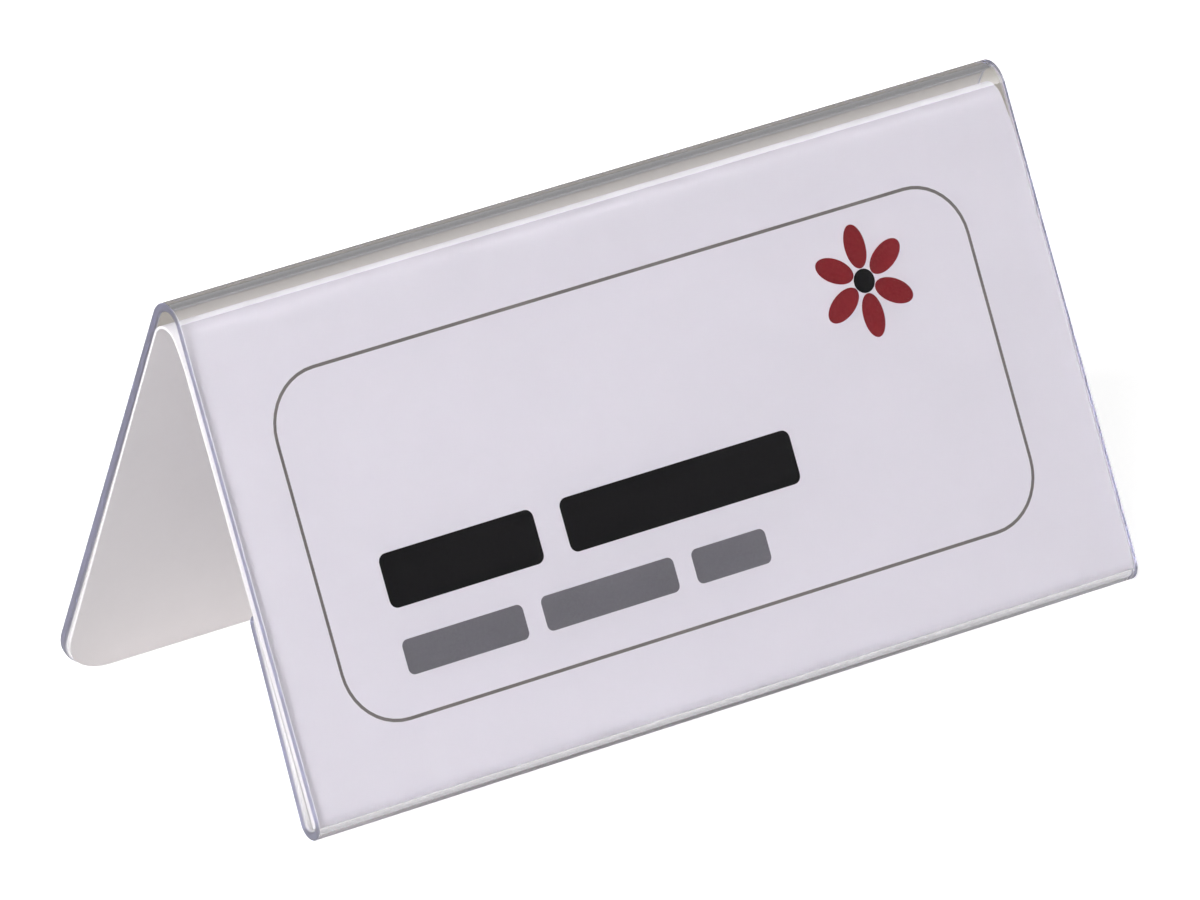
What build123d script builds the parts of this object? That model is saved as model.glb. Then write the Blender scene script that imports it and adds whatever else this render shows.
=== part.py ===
from build123d import *
import os
from math import asin, cos, degrees, radians, sin, sqrt

# Desk name plate: a tent of clear sheet that stands on two edges, with a folded card inside.
# Millimetres. +X runs along the ridge, the readable pane faces -Y, +Z is up.
# The origin is on the table, in the middle of the footprint.

# Clear holder: one strip of hard sheet, bent over the ridge and round the foot of the pane
width = 100.0
sheet_thickness = 0.9
half_angle = 25.5  # degrees, each leaf from the vertical
ridge_inner_radius = 1.85
pane_length = 50.6  # flat stretch from the ridge bend to the foot bend
foot_inner_radius = 0.9
lip_length = 21.3  # flat stretch behind the pane, above the foot bend
lip_corner_radius = 1.0
rear_corner_radius = 6.0
edge_round = 0.25

# Name card: one sheet of card, folded under the ridge in a tight crown with a slack shoulder in front
card_thickness = 0.3
card_crown_radius = 2.0  # inside of the crown
card_shoulder_radius = 18.5  # inside of the shoulder
card_shoulder_bend = 13.0  # degrees
card_front_gap = 0.42  # from the card's front half to the pane
card_rear_gap = 0.1  # from the crown to the rear leaf
card_rear_lean = 0.6  # degrees, the rear half hangs away from the rear leaf
card_lip_gap = 0.08  # from the card to the lip's free edge
card_foot_gap = 0.12  # from the card's front edge to the foot bend
card_rear_rise = 0.15  # from the table up to the card's rear edge

# Bends and angles
slope = radians(half_angle)
ridge_bend = 180 - 2 * half_angle
ridge_radius = ridge_inner_radius + sheet_thickness
foot_radius = foot_inner_radius + sheet_thickness

# The lip leans in until its free edge almost touches the card
lip_rise = 2 * foot_inner_radius - card_front_gap - card_thickness - card_lip_gap
lip_lean = degrees(asin(lip_rise / lip_length))
foot_bend = 180 + lip_lean

# The ridge bend's axis stands as high as the pane and its foot bend hold it
ridge_z = pane_length * cos(slope) + foot_radius + (foot_radius - ridge_radius) * sin(slope)

# The rear leaf reaches down to the same table, on its rounded lower edge
edge_lift = edge_round * cos(slope) + edge_round * sin(slope) - edge_round
rear_length = (ridge_z + ridge_inner_radius * sin(slope) + edge_lift) / cos(slope)

# The footprint is centred on the origin, so the ridge lies a little off the middle
front_reach = (ridge_radius - foot_radius) * cos(slope) + pane_length * sin(slope) + foot_radius
rear_reach = ridge_radius * cos(slope) + rear_length * sin(slope) - edge_lift
ridge_y = (front_reach - rear_reach) / 2

# Card: its crown lies where both gaps leave room for it, with the front half parallel to the pane
card_rear_slope = radians(half_angle - card_rear_lean)
shoulder_turn = radians(card_shoulder_bend)
crown_bend = ridge_bend + card_rear_lean - card_shoulder_bend
crown_radius = card_crown_radius + card_thickness
shoulder_radius = card_shoulder_radius + card_thickness
slack = shoulder_radius - crown_radius
rear_room = ridge_inner_radius - card_rear_gap - crown_radius
front_room = ridge_inner_radius - card_front_gap - crown_radius - slack * (1 - cos(shoulder_turn))
crown_shift = (rear_room - front_room) / (2 * cos(slope))
crown_rise = (rear_room + front_room) / (2 * sin(slope))
crown_y = ridge_y + crown_shift
crown_z = ridge_z + crown_rise
shoulder_end = slack * sin(shoulder_turn) - crown_shift * sin(slope) - crown_rise * cos(slope)
foot_depth = sqrt(card_front_gap * (2 * foot_inner_radius - card_front_gap))
card_front_length = pane_length + foot_depth - card_foot_gap - shoulder_end
card_rear_length = (crown_z + card_crown_radius * sin(card_rear_slope) - card_rear_rise) / cos(card_rear_slope)


# End points of a rear leaf's outer face, from its lower edge up to where the bend begins
def rear_face(bend_y, bend_z, bend_radius, length, lean):
    top_y = bend_y + bend_radius * cos(lean)
    top_z = bend_z + bend_radius * sin(lean)
    return (top_y + length * sin(lean), top_z - length * cos(lean)), (top_y, top_z)


# A quarter turn to the left at a line's end: across the sheet, then back along its inner face
def inward(line):
    return (line % 1).rotate(Axis.Z, 90)


# The two corner edges of each free edge of a bent sheet, the front one's first
def corner_edges(sheet):
    leaves = sheet.faces().filter_by(GeomType.PLANE).filter_by(Axis.X, reverse=True)
    free_edges = leaves.sort_by(SortBy.AREA)[:2].sort_by(Axis.Y)
    return [edge_face.edges().filter_by(Axis.X, reverse=True) for edge_face in free_edges]


os.makedirs("parts", exist_ok=True)

# Clear holder: rear leaf, ridge, pane, foot bend and lip in one section
with BuildPart() as clear_holder:
    with BuildSketch(Plane.YZ.offset(-width / 2)):
        with BuildLine():
            rear_out = Line(*rear_face(ridge_y, ridge_z, ridge_radius, rear_length, slope))
            ridge_out = JernArc(rear_out @ 1, rear_out % 1, ridge_radius, ridge_bend)
            pane_out = PolarLine(ridge_out @ 1, pane_length, direction=ridge_out % 1)
            foot_out = JernArc(pane_out @ 1, pane_out % 1, foot_radius, foot_bend)
            lip_out = PolarLine(foot_out @ 1, lip_length, direction=foot_out % 1)
            lip_edge = PolarLine(lip_out @ 1, sheet_thickness, direction=inward(lip_out))
            lip_in = PolarLine(lip_edge @ 1, lip_length, direction=inward(lip_edge))
            foot_in = JernArc(lip_in @ 1, lip_in % 1, foot_inner_radius, -foot_bend)
            pane_in = PolarLine(foot_in @ 1, pane_length, direction=foot_in % 1)
            ridge_in = JernArc(pane_in @ 1, pane_in % 1, ridge_inner_radius, -ridge_bend)
            rear_in = PolarLine(ridge_in @ 1, rear_length, direction=ridge_in % 1)
            Line(rear_in @ 1, rear_out @ 0)
        make_face()
    extrude(amount=width)
    # Rounded corners: small ones on the lip, large ones on the rear leaf
    fillet(corner_edges(clear_holder)[0], radius=lip_corner_radius)
    fillet(corner_edges(clear_holder)[1], radius=rear_corner_radius)
    # The cut edge of the sheet is eased all round
    end_edges = clear_holder.faces().filter_by(Axis.X).edges()
    fillet(end_edges.filter_by(lambda edge: edge.length > sheet_thickness + edge_round), radius=edge_round)
clear_holder.part.label = "clear_holder"
export_step(clear_holder.part, "parts/clear_holder.step")

# Name card: rear half, crown, shoulder and front half, with the rear corners rounded like the rear leaf's
with BuildPart() as name_card:
    with BuildSketch(Plane.YZ.offset(-width / 2)):
        with BuildLine():
            rear_out = Line(*rear_face(crown_y, crown_z, crown_radius, card_rear_length, card_rear_slope))
            crown_out = JernArc(rear_out @ 1, rear_out % 1, crown_radius, crown_bend)
            shoulder_out = JernArc(crown_out @ 1, crown_out % 1, shoulder_radius, card_shoulder_bend)
            front_out = PolarLine(shoulder_out @ 1, card_front_length, direction=shoulder_out % 1)
            front_edge = PolarLine(front_out @ 1, card_thickness, direction=inward(front_out))
            front_in = PolarLine(front_edge @ 1, card_front_length, direction=inward(front_edge))
            shoulder_in = JernArc(front_in @ 1, front_in % 1, card_shoulder_radius, -card_shoulder_bend)
            crown_in = JernArc(shoulder_in @ 1, shoulder_in % 1, card_crown_radius, -crown_bend)
            rear_in = PolarLine(crown_in @ 1, card_rear_length, direction=crown_in % 1)
            Line(rear_in @ 1, rear_out @ 0)
        make_face()
    extrude(amount=width)
    fillet(corner_edges(name_card)[1], radius=rear_corner_radius)
name_card.part.label = "name_card"
export_step(name_card.part, "parts/name_card.step")

card_bends = radians(crown_bend) * crown_radius + shoulder_turn * shoulder_radius
card_length = card_front_length + card_rear_length + card_bends
print(f"ridge top {ridge_z + ridge_radius:.2f}, footprint depth {front_reach + rear_reach:.2f}")
print(f"lip leans in {lip_lean:.2f} degrees, card opened flat {card_length:.2f} by {width:.2f}")
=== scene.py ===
from math import cos, pi, radians, sin
import bmesh
import bpy
from mathutils import Matrix, Vector


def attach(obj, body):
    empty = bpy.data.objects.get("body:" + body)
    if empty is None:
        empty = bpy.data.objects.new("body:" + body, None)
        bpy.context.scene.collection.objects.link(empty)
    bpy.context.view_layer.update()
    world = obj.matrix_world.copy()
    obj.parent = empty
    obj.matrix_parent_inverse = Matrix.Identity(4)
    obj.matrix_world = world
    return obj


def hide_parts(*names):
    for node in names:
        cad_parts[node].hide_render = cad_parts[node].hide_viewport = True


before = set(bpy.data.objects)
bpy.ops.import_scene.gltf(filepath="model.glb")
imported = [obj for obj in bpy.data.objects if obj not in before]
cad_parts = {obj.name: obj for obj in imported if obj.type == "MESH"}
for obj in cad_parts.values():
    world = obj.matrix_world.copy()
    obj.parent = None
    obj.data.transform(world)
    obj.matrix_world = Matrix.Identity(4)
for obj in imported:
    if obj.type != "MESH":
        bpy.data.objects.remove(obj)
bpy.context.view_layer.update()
scene = bpy.context.scene
mm = 0.001
print("frame loaded:", sorted(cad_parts))


# sRGB hex to the linear colour that shaders take
def hexColour(code):
    parts = [int(code[i:i + 2], 16) / 255 for i in (0, 2, 4)]
    return [p / 12.92 if p <= 0.04045 else ((p + 0.055) / 1.055) ** 2.4 for p in parts] + [1.0]


# adds a node: settings are its properties, inputs are values, or (node, output) links
def addNode(tree, kind, settings={}, inputs={}):
    node = tree.nodes.new(kind)
    for key, value in settings.items():
        setattr(node, key, value)
    for key, value in inputs.items():
        if isinstance(value, tuple) and isinstance(value[0], bpy.types.Node):
            tree.links.new(value[0].outputs[value[1]], node.inputs[key])
        else:
            node.inputs[key].default_value = value
    return node


def newMaterial(name):
    material = bpy.data.materials.new(name)
    material.use_nodes = True
    material.node_tree.nodes.clear()
    return material, material.node_tree


def newPiece(name, bm, *materials):
    mesh = bpy.data.meshes.new(name)
    bm.to_mesh(mesh)
    bm.free()
    for material in materials:
        mesh.materials.append(material)
    piece = bpy.data.objects.new(name, mesh)
    scene.collection.objects.link(piece)
    return piece


# texture scale whose grain is that many millimetres across
def grain(size):
    return 1 / (size * mm)


# Rigid PVC sheet, calendered and polished: water-clear with mirror gloss. Long paths inside it turn blue, so
# the cut edges and bends, where piped light comes out, read blue-grey. The shear leaves the edge a little frosted.
def clearPvc():
    look = {"clean": "FDFCFF", "handled": "FAF9FC", "ior": 1.53, "roughLow": 0.004, "roughHigh": 0.02,
            "handling": 9.0, "handlingSpan": (0.35, 0.7), "handlingDetail": 4.0, "handlingRoughness": 0.6,
            "cut": "F2F1F8", "cutLow": 0.36, "cutHigh": 0.46, "cutClear": 0.87,
            "shearMarks": 1.2, "shearSpan": (0.3, 0.7), "shearDetail": 3.0,
            "body": "C0C2DB", "bodyDepth": 45.0}
    material, tree = newMaterial("clearPvcSheet")
    place = addNode(tree, "ShaderNodeTexCoord")
    handling = addNode(tree, "ShaderNodeTexNoise", {}, {
        "Vector": (place, "Object"), "Scale": grain(look["handling"]),
        "Detail": look["handlingDetail"], "Roughness": look["handlingRoughness"]})
    tint = addNode(tree, "ShaderNodeMix", {"data_type": "RGBA"}, {
        0: (handling, "Fac"), 6: hexColour(look["clean"]), 7: hexColour(look["handled"])})
    gloss = addNode(tree, "ShaderNodeMapRange", {}, {
        "Value": (handling, "Fac"), "From Min": look["handlingSpan"][0], "From Max": look["handlingSpan"][1],
        "To Min": look["roughLow"], "To Max": look["roughHigh"]})
    marks = addNode(tree, "ShaderNodeTexNoise", {}, {
        "Vector": (place, "Object"), "Scale": grain(look["shearMarks"]), "Detail": look["shearDetail"]})
    frost = addNode(tree, "ShaderNodeMapRange", {}, {
        "Value": (marks, "Fac"), "From Min": look["shearSpan"][0], "From Max": look["shearSpan"][1],
        "To Min": look["cutLow"], "To Max": look["cutHigh"]})
    cut = addNode(tree, "ShaderNodeAttribute", {"attribute_name": "cutEdge"})
    rough = addNode(tree, "ShaderNodeMix", {"data_type": "FLOAT"}, {
        0: (cut, "Fac"), 2: (gloss, "Result"), 3: (frost, "Result")})
    edgeTint = addNode(tree, "ShaderNodeMix", {"data_type": "RGBA"}, {
        0: (cut, "Fac"), 6: (tint, 2), 7: hexColour(look["cut"])})
    clear = addNode(tree, "ShaderNodeMapRange", {}, {
        "Value": (cut, "Fac"), "To Min": 1.0, "To Max": look["cutClear"]})
    shader = addNode(tree, "ShaderNodeBsdfPrincipled", {}, {
        "Base Color": (edgeTint, 2), "Roughness": (rough, 0), "IOR": look["ior"],
        "Transmission Weight": (clear, 0)})
    body = addNode(tree, "ShaderNodeVolumeAbsorption", {}, {
        "Color": hexColour(look["body"]), "Density": grain(look["bodyDepth"])})
    addNode(tree, "ShaderNodeOutputMaterial", {}, {"Surface": (shader, "BSDF"), "Volume": (body, "Volume")})
    return material


# Uncoated white card, wood-free: dead matt, with a fine fibre tooth and faint clouding
def cardStock():
    look = {"paper": "F3F0F4", "cloud": "EFECF0", "clouding": 4.0, "cloudDetail": 5.0, "cloudRoughness": 0.65,
            "fibre": 0.3, "fibreDetail": 3.0, "tooth": 0.006, "roughLow": 0.82, "roughHigh": 0.95, "ior": 1.5}
    material, tree = newMaterial("whiteCardStock")
    place = addNode(tree, "ShaderNodeTexCoord")
    clouding = addNode(tree, "ShaderNodeTexNoise", {}, {
        "Vector": (place, "Object"), "Scale": grain(look["clouding"]),
        "Detail": look["cloudDetail"], "Roughness": look["cloudRoughness"]})
    tone = addNode(tree, "ShaderNodeMix", {"data_type": "RGBA"}, {
        0: (clouding, "Fac"), 6: hexColour(look["cloud"]), 7: hexColour(look["paper"])})
    fibre = addNode(tree, "ShaderNodeTexNoise", {}, {
        "Vector": (place, "Object"), "Scale": grain(look["fibre"]), "Detail": look["fibreDetail"]})
    tooth = addNode(tree, "ShaderNodeBump", {}, {
        "Height": (fibre, "Fac"), "Distance": look["tooth"] * mm, "Strength": 1.0})
    dull = addNode(tree, "ShaderNodeMapRange", {}, {
        "Value": (fibre, "Fac"), "To Min": look["roughLow"], "To Max": look["roughHigh"]})
    shader = addNode(tree, "ShaderNodeBsdfPrincipled", {}, {
        "Base Color": (tone, 2), "Roughness": (dull, "Result"), "Normal": (tooth, "Normal"), "IOR": look["ior"]})
    addNode(tree, "ShaderNodeOutputMaterial", {}, {"Surface": (shader, "BSDF")})
    return material


# Laser toner on card: thin satin film, slightly mottled where the card's tooth shows through
def toner(name, solid, thin):
    look = {"mottle": 0.25, "mottleDetail": 4.0, "roughLow": 0.3, "roughHigh": 0.45, "sheen": 0.1}
    material, tree = newMaterial(name)
    place = addNode(tree, "ShaderNodeTexCoord")
    mottle = addNode(tree, "ShaderNodeTexNoise", {}, {
        "Vector": (place, "Object"), "Scale": grain(look["mottle"]), "Detail": look["mottleDetail"]})
    tone = addNode(tree, "ShaderNodeMix", {"data_type": "RGBA"}, {
        0: (mottle, "Fac"), 6: hexColour(solid), 7: hexColour(thin)})
    gloss = addNode(tree, "ShaderNodeMapRange", {}, {
        "Value": (mottle, "Fac"), "To Min": look["roughLow"], "To Max": look["roughHigh"]})
    shader = addNode(tree, "ShaderNodeBsdfPrincipled", {}, {
        "Base Color": (tone, 2), "Roughness": (gloss, "Result"), "Specular IOR Level": look["sheen"]})
    addNode(tree, "ShaderNodeOutputMaterial", {}, {"Surface": (shader, "BSDF")})
    return material


# draws a cross-wise edge along a straight run and gives back its new place
def pullEdge(bm, edge, way):
    grown = bmesh.ops.extrude_edge_only(bm, edges=[edge])["geom"]
    tips = [v for v in grown if isinstance(v, bmesh.types.BMVert)]
    bmesh.ops.translate(bm, verts=tips, vec=way)
    return next(e for e in grown if isinstance(e, bmesh.types.BMEdge) and set(e.verts) == set(tips))


# turns it round a bend whose axis runs along X
def turnEdge(bm, edge, centre, angle, steps):
    turned = bmesh.ops.spin(bm, geom=[edge, *edge.verts], cent=centre, axis=(1, 0, 0), angle=angle, steps=steps)
    return next(e for e in turned["geom_last"] if isinstance(e, bmesh.types.BMEdge))


# one sheet, bent over the ridge and, if it has a foot, round that and up into a lip
def foldedSheet(name, sheet, material):
    a, b, slack = (radians(sheet[k]) for k in ("slope", "rearSlope", "shoulderBend"))
    rise = Vector((0, -sin(b), cos(b)))
    drop = Vector((0, -sin(a), -cos(a)))
    ridge = Vector((0, sheet["ridgeY"], sheet["ridgeZ"])) * mm
    start = ridge + Vector((0, cos(b), sin(b))) * sheet["ridgeRadius"] * mm - rise * sheet["rearLength"] * mm
    bm = bmesh.new()
    rearEnds = [bm.verts.new(start + Vector((sheet[side] * mm, 0, 0))) for side in ("left", "right")]
    edge = pullEdge(bm, bm.edges.new(rearEnds), rise * sheet["rearLength"] * mm)
    edge = turnEdge(bm, edge, ridge, pi - a - b - slack, sheet["bendSteps"])
    if slack:
        inside = Vector((0, cos(a + slack), -sin(a + slack)))
        shoulder = ridge + inside * (sheet["shoulderRadius"] - sheet["ridgeRadius"]) * mm
        edge = turnEdge(bm, edge, shoulder, slack, sheet["bendSteps"])
    edge = pullEdge(bm, edge, drop * sheet["frontLength"] * mm)
    if sheet["footRadius"]:
        foot = Vector((0, *edge.verts[0].co.yz)) + Vector((0, cos(a), -sin(a))) * sheet["footRadius"] * mm
        bend = radians(sheet["footBend"])
        edge = turnEdge(bm, edge, foot, bend, sheet["bendSteps"])
        edge = pullEdge(bm, edge, Matrix.Rotation(bend, 3, "X") @ drop * sheet["lipLength"] * mm)
    frontEnds = list(edge.verts)
    bmesh.ops.recalc_face_normals(bm, faces=bm.faces)
    if max(bm.faces, key=lambda f: f.calc_center_median().z).normal.z < 0:
        bmesh.ops.reverse_faces(bm, faces=bm.faces)
    # corners in the sheet, then its thickness towards the inside of the bends
    for corners, radius in ((rearEnds, sheet["rearCorner"]), (frontEnds, sheet["frontCorner"])):
        if radius:
            bmesh.ops.bevel(bm, geom=corners, offset=radius * mm, offset_type="OFFSET",
                            segments=sheet["cornerSteps"], profile=0.5, affect="VERTICES", material=-1)
    outside = set(bm.verts)
    bmesh.ops.solidify(bm, geom=bm.faces[:], thickness=sheet["thickness"] * mm)
    bmesh.ops.recalc_face_normals(bm, faces=bm.faces)
    cutEdge = bm.faces.layers.float.new("cutEdge")
    for f in bm.faces:
        f.smooth = True
        f[cutEdge] = float(0 < sum(v in outside for v in f.verts) < len(f.verts))
    # the shear leaves the cut edge crisp on the outside and rolls it over on the inside
    sharp = [e for e in bm.edges if e.calc_face_angle() > radians(sheet["sharpAngle"])]
    outer = [e for e in sharp if outside.issuperset(e.verts)]
    inner = [e for e in sharp if outside.isdisjoint(e.verts)]
    for edges, ease in ((outer, sheet["outerEase"]), (inner, sheet["innerEase"])):
        eased = bmesh.ops.bevel(bm, geom=edges, offset=ease * mm, offset_type="OFFSET",
                                segments=sheet["easeSteps"], profile=0.5, affect="EDGES", material=-1)
        for f in eased["faces"]:
            f[cutEdge] = 1.0
    piece = newPiece(name, bm, material)
    level = piece.modifiers.new("flat leaves", "WEIGHTED_NORMAL")
    level.mode = "FACE_AREA"
    level.weight = 100
    return piece


# Clear holder: rear leaf, ridge, pane, U-shaped foot and lip
holder = {
    "left": -50.0, "right": 50.0, "thickness": 0.9,
    "slope": 25.5, "rearSlope": 25.5,                           # degrees, each leaf from the vertical
    "ridgeY": -0.4122, "ridgeZ": 47.0618, "ridgeRadius": 2.75,  # axis and outside of the top bend
    "shoulderRadius": 0.0, "shoulderBend": 0.0,
    "rearLength": 53.1158, "frontLength": 50.6,
    "footRadius": 1.8, "footBend": 182.691, "lipLength": 21.3,
    "rearCorner": 6.0, "frontCorner": 1.0, "outerEase": 0.1, "innerEase": 0.28,
    "bendSteps": 28, "cornerSteps": 14, "easeSteps": 5, "sharpAngle": 60.0,
}
clearHolder = foldedSheet("clearHolder", holder, clearPvc())
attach(clearHolder, "holder")
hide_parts("clear_holder")
print("holder:", len(clearHolder.data.polygons), "faces")

# Card: folded under the ridge in a tight crown with a slack shoulder in front, flush with both ends
card = {
    "left": -50.0, "right": 50.0, "thickness": 0.3,
    "slope": 25.5, "rearSlope": 24.9,
    "ridgeY": -0.0007, "ridgeZ": 44.9214, "ridgeRadius": 2.3,
    "shoulderRadius": 18.8, "shoulderBend": 13.0,
    "rearLength": 50.2881, "frontLength": 45.7749,
    "footRadius": 0.0, "footBend": 0.0, "lipLength": 0.0,
    "rearCorner": 6.0, "frontCorner": 0.0, "outerEase": 0.04, "innerEase": 0.04,
    "bendSteps": 28, "cornerSteps": 14, "easeSteps": 5, "sharpAngle": 60.0,
}
nameCard = foldedSheet("nameCard", card, cardStock())
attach(nameCard, "card")
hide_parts("name_card")
print("card:", len(nameCard.data.polygons), "faces")


# Print on the card's front: X along the card, Y up its slope, from where the outer faces would meet at the top
printing = {"film": 0.01, "apexZ": 53.4496, "depth": 1.32, "cornerSteps": 10}
lean = radians(holder["slope"])
printPlace = Matrix(((1, 0, 0, 0),
                     (0, sin(lean), -cos(lean), holder["ridgeY"] * mm + cos(lean) * printing["depth"] * mm),
                     (0, cos(lean), sin(lean), (printing["apexZ"] - sin(lean) * printing["depth"]) * mm),
                     (0, 0, 0, 1)))


# lays a flat outline on the card as a thin film
def printShape(name, bm, material):
    for f in bm.faces:
        if f.normal.z < 0:
            f.normal_flip()
    film = bmesh.ops.extrude_face_region(bm, geom=bm.faces[:])["geom"]
    bmesh.ops.translate(bm, verts=[v for v in film if isinstance(v, bmesh.types.BMVert)],
                        vec=(0, 0, printing["film"] * mm))
    bmesh.ops.recalc_face_normals(bm, faces=bm.faces)
    bmesh.ops.transform(bm, matrix=printPlace, verts=bm.verts)
    piece = newPiece(name, bm, material)
    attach(piece, "card")
    return piece


# rounded bar from its left, right, top and bottom, in millimetres down from the apex line
def bar(bm, left, right, top, bottom, corner):
    made = bmesh.ops.create_grid(bm, x_segments=1, y_segments=1, size=0.5)["verts"]
    bmesh.ops.scale(bm, verts=made, vec=((right - left) * mm, (bottom - top) * mm, 1))
    bmesh.ops.translate(bm, verts=made, vec=((left + right) / 2 * mm, -(top + bottom) / 2 * mm, 0))
    bmesh.ops.bevel(bm, geom=made, offset=corner * mm, offset_type="OFFSET", segments=printing["cornerSteps"],
                    profile=0.5, affect="VERTICES", material=-1)


blackToner = toner("blackToner", "0D0C0C", "161515")
greyToner = toner("greyToner", "706F73", "7E7D81")
lineToner = toner("greyLineToner", "75706C", "8A8580")
redToner = toner("darkRedToner", "7E2226", "96363A")

frameLine = {"left": -42.6, "right": 41.62, "top": 13.09, "bottom": 49.58, "corner": 6.3, "width": 0.34}
bm = bmesh.new()
bar(bm, *(frameLine[k] for k in ("left", "right", "top", "bottom", "corner")))
bmesh.ops.inset_region(bm, faces=bm.faces[:], thickness=frameLine["width"] * mm,
                       use_even_offset=True, use_boundary=True)
inside = max(bm.faces, key=lambda f: f.calc_area())
bmesh.ops.delete(bm, geom=[inside], context="FACES")
printShape("frameLine", bm, lineToner)

nameLine = {"top": 33.0, "bottom": 38.6, "corner": 0.9, "words": ((-35.0, -16.6), (-13.4, 14.6))}
roleLine = {"top": 41.8, "bottom": 45.4, "corner": 0.7,
            "words": ((-35.0, -20.6), (-18.4, -2.4), (-0.2, 8.8))}
for name, line, ink in (("nameLine", nameLine, blackToner), ("roleLine", roleLine, greyToner)):
    bm = bmesh.new()
    for left, right in line["words"]:
        bar(bm, left, right, line["top"], line["bottom"], line["corner"])
    printShape(name, bm, ink)

rosette = {"x": 28.0, "down": 21.0, "petals": 6, "length": 4.6, "width": 2.5, "gap": 1.3, "eye": 1.25,
           "steps": 32}
bm = bmesh.new()
for k in range(rosette["petals"]):
    petal = bmesh.ops.create_circle(bm, cap_ends=True, segments=rosette["steps"], radius=0.5)["verts"]
    bmesh.ops.scale(bm, verts=petal, vec=(rosette["width"] * mm, rosette["length"] * mm, 1))
    bmesh.ops.translate(bm, verts=petal, vec=(0, (rosette["gap"] + rosette["length"] / 2) * mm, 0))
    turn = Matrix.Rotation(2 * pi * k / rosette["petals"], 3, "Z")
    bmesh.ops.rotate(bm, verts=petal, cent=(0, 0, 0), matrix=turn)
bmesh.ops.translate(bm, verts=bm.verts, vec=(rosette["x"] * mm, -rosette["down"] * mm, 0))
printShape("rosettePetals", bm, redToner)
bm = bmesh.new()
bmesh.ops.create_circle(bm, cap_ends=True, segments=rosette["steps"], radius=rosette["eye"] * mm)
bmesh.ops.translate(bm, verts=bm.verts, vec=(rosette["x"] * mm, -rosette["down"] * mm, 0))
printShape("rosetteEye", bm, blackToner)
print("print laid on the card")


# Studio: pale floor and backdrop, a key softbox on the left and a weak fill on the right. By way of the clear
# sheet the world shows painted reflections of a dark front, a bright ceiling strip and a dim grey back, which
# light nothing.
studio = {"floorSize": 6.0, "floor": "F3F2F1", "floorGlow": 0.85, "dome": 0.06, "aim": 25.0,
          "sheetGlow": 0.35, "beyond": (30, 86),  # floor seen straight through the sheet
          # painted shade: the floor is coloured greyer behind the object
          "paintedShadeBehind": "D0CAC0", "behind": (-30, 70),
          # painted light: near the foot the floor seen by way of the sheet is darker but glows
          "paintedLightFootFloor": "A09E9C", "paintedFootGlow": 0.46, "near": (-22, -8),
          # painted reflections by direction: dark front, bright ceiling strip, dim grey back
          "paintedReflections": ((0.118, 0.02), (0.13, 3.8), (0.22, 3.2), (0.35, 1.7),
                    (0.6, 0.9), (0.8, 0.25), (0.89, 0.25), (0.93, 0.36))}
lamps = {"keySoftbox": {"at": (-1.86, -1.02, 1.4), "size": 1.28, "power": 79.0},
         "fillSoftbox": {"at": (1.0, -0.25, 0.45), "size": 0.6, "power": 1.6}}


# depths are whole numbers, so this tells none from one or more
firstBounce = 0.5


# 1 for what the picture shows by way of the clear sheet, and 0 for light that falls on the object
def seenRay(tree, path):
    clear = addNode(tree, "ShaderNodeMath", {"operation": "MAXIMUM"}, {
        0: (path, "Is Glossy Ray"), 1: (path, "Is Transmission Ray")})
    direct = addNode(tree, "ShaderNodeMath", {"operation": "LESS_THAN"}, {
        0: (path, "Diffuse Depth"), 1: firstBounce})
    return addNode(tree, "ShaderNodeMath", {"operation": "MULTIPLY"}, {0: (clear, 0), 1: (direct, 0)})


# 1 for what it shows straight through the clear sheet
def throughRay(tree, path):
    turns = addNode(tree, "ShaderNodeMath", {"operation": "ADD"}, {
        0: (path, "Glossy Depth"), 1: (path, "Diffuse Depth")})
    straight = addNode(tree, "ShaderNodeMath", {"operation": "LESS_THAN"}, {0: (turns, 0), 1: firstBounce})
    return addNode(tree, "ShaderNodeMath", {"operation": "MULTIPLY"}, {
        0: (path, "Is Transmission Ray"), 1: (straight, 0)})


bm = bmesh.new()
bmesh.ops.create_grid(bm, x_segments=1, y_segments=1, size=studio["floorSize"] / 2)
sweep, tree = newMaterial("paleSweep")
path = addNode(tree, "ShaderNodeLightPath")
place = addNode(tree, "ShaderNodeTexCoord")
depth = addNode(tree, "ShaderNodeSeparateXYZ", {}, {"Vector": (place, "Object")})
# the clear sheet shows the floor with a painted soft light at the foot, near white in the middle and painted grey
# shade behind
front, near, middle = (addNode(tree, "ShaderNodeMapRange", {}, {
    "Value": (depth, "Y"), "From Min": studio[span][0] * mm, "From Max": studio[span][1] * mm,
    "To Min": 1.0, "To Max": 0.0}) for span in ("behind", "near", "beyond"))
between = addNode(tree, "ShaderNodeMath", {"operation": "SUBTRACT"}, {0: (middle, 0), 1: (near, 0)})
through = addNode(tree, "ShaderNodeMath", {"operation": "MULTIPLY"}, {
    0: (throughRay(tree, path), 0), 1: (between, 0)})
plain = addNode(tree, "ShaderNodeMath", {"operation": "MAXIMUM"}, {0: (path, "Is Camera Ray"), 1: (through, 0)})
pale = addNode(tree, "ShaderNodeMath", {"operation": "MAXIMUM"}, {0: (plain, 0), 1: (front, 0)})
# painted shade: greyer floor behind the object, where neither the camera nor a straight ray through the sheet
# looks
colour = addNode(tree, "ShaderNodeMix", {"data_type": "RGBA"}, {
    0: (pale, 0), 6: hexColour(studio["paintedShadeBehind"]), 7: hexColour(studio["floor"])})
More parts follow.
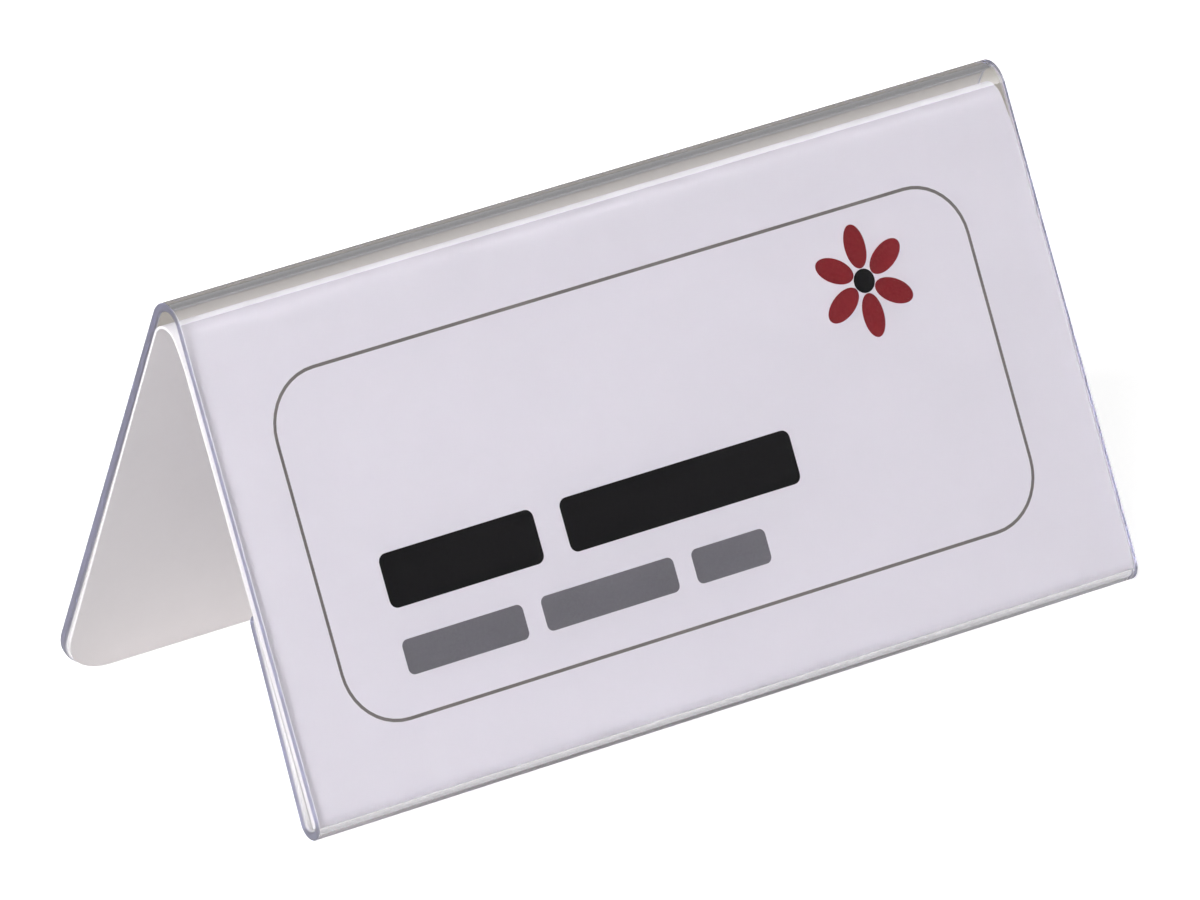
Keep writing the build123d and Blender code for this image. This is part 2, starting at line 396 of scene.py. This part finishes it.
# painted light at the foot: darker floor colour plus a glow, for rays seen by way of the sheet
paintedFootMask = addNode(tree, "ShaderNodeMath", {"operation": "MULTIPLY"}, {0: (seenRay(tree, path), 0), 1: (near, 0)})
paintedFootColour = addNode(tree, "ShaderNodeMix", {"data_type": "RGBA"}, {
    0: (paintedFootMask, 0), 6: (colour, 2), 7: hexColour(studio["paintedLightFootFloor"])})
paintedFootLight = addNode(tree, "ShaderNodeMath", {"operation": "MULTIPLY"}, {0: (paintedFootMask, 0), 1: studio["paintedFootGlow"]})
sheetGlow = addNode(tree, "ShaderNodeMath", {"operation": "MULTIPLY_ADD"}, {
    0: (through, 0), 1: studio["sheetGlow"], 2: (paintedFootLight, 0)})
strength = addNode(tree, "ShaderNodeMix", {"data_type": "FLOAT"}, {
    0: (path, "Is Camera Ray"), 2: (sheetGlow, 0), 3: studio["floorGlow"]})
matt = addNode(tree, "ShaderNodeBsdfDiffuse", {}, {"Color": (paintedFootColour, 2)})
glow = addNode(tree, "ShaderNodeEmission", {}, {"Color": (1, 1, 1, 1), "Strength": (strength, 0)})
white = addNode(tree, "ShaderNodeAddShader", {}, {0: (matt, 0), 1: (glow, 0)})
addNode(tree, "ShaderNodeOutputMaterial", {}, {"Surface": (white, 0)})
floor = newPiece("floor", bm, sweep)

world = bpy.data.worlds.new("studio")
scene.world = world
world.use_nodes = True
world.node_tree.nodes.clear()
tree = world.node_tree
path = addNode(tree, "ShaderNodeLightPath")
way = addNode(tree, "ShaderNodeTexCoord")
depth = addNode(tree, "ShaderNodeSeparateXYZ", {}, {"Vector": (way, "Generated")})
# painted reflections: for glossy and sheet rays from the camera the world is shaded by direction, lighting nothing
turned = addNode(tree, "ShaderNodeMapRange", {}, {"Value": (depth, "Y"), "From Min": -1.0, "From Max": 1.0})
paintedReflections = addNode(tree, "ShaderNodeValToRGB", {}, {"Fac": (turned, 0)})
for stop, (spot, level) in enumerate(studio["paintedReflections"]):
    if stop > 1:
        paintedReflections.color_ramp.elements.new(spot)
    paintedReflections.color_ramp.elements[stop].position = spot
    paintedReflections.color_ramp.elements[stop].color = (level, level, level, 1)
white = addNode(tree, "ShaderNodeBackground", {}, {"Color": (1, 1, 1, 1), "Strength": 1.0})
paintedRoom = addNode(tree, "ShaderNodeBackground", {}, {"Color": (paintedReflections, 0), "Strength": 1.0})
dome = addNode(tree, "ShaderNodeBackground", {}, {"Color": (1, 1, 1, 1), "Strength": studio["dome"]})
# painted reflections for rays seen by way of the sheet, the plain dome for light falling on the object
shown = addNode(tree, "ShaderNodeMixShader", {}, {0: (seenRay(tree, path), 0), 1: (dome, 0), 2: (paintedRoom, 0)})
mixed = addNode(tree, "ShaderNodeMixShader", {}, {0: (path, "Is Camera Ray"), 1: (shown, 0), 2: (white, 0)})
addNode(tree, "ShaderNodeOutputWorld", {}, {"Surface": (mixed, 0)})

for name, lamp in lamps.items():
    lampData = bpy.data.lights.new(name, "AREA")
    lampData.shape = "SQUARE"
    lampData.size = lamp["size"]
    lampData.energy = lamp["power"]
    softbox = bpy.data.objects.new(name, lampData)
    scene.collection.objects.link(softbox)
    softbox.location = lamp["at"]
    aim = Vector((0, 0, studio["aim"] * mm)) - softbox.location
    softbox.rotation_euler = aim.to_track_quat("-Z", "Y").to_euler()
print("studio lit")

# Camera: long lens, from the left and above, turned slightly
view = {"from": (-726.69, -1094.403, 619.513), "azimuth": 33.6215, "elevation": 24.5319, "roll": -1.6778,
        "lens": 428.705, "sensor": 36, "clipEnd": 20}
cameraData = bpy.data.cameras.new("camera")
cameraData.sensor_width = view["sensor"]
cameraData.lens = view["lens"]
cameraData.clip_end = view["clipEnd"]
camera = bpy.data.objects.new("camera", cameraData)
scene.collection.objects.link(camera)
az, el = radians(view["azimuth"]), radians(view["elevation"])
back = Vector((-sin(az) * cos(el), -cos(az) * cos(el), sin(el)))
right = Vector((cos(az), -sin(az), 0))
turn = Matrix((right, back.cross(right), back)).transposed() @ Matrix.Rotation(radians(view["roll"]), 3, "Z")
camera.matrix_world = Matrix.Translation(Vector(view["from"]) * mm) @ turn.to_4x4()
scene.camera = camera
scene.view_settings.view_transform = "Standard"
# light bends sharply through the sheet and is piped along it, so it is neither blurred nor cut short
scene.cycles.blur_glossy = 0.0
paths = {"clamp": 30.0, "bounces": 160}
scene.cycles.sample_clamp_indirect = paths["clamp"]
for limit in ("max_bounces", "glossy_bounces", "transmission_bounces"):
    setattr(scene.cycles, limit, paths["bounces"])
print("camera set")
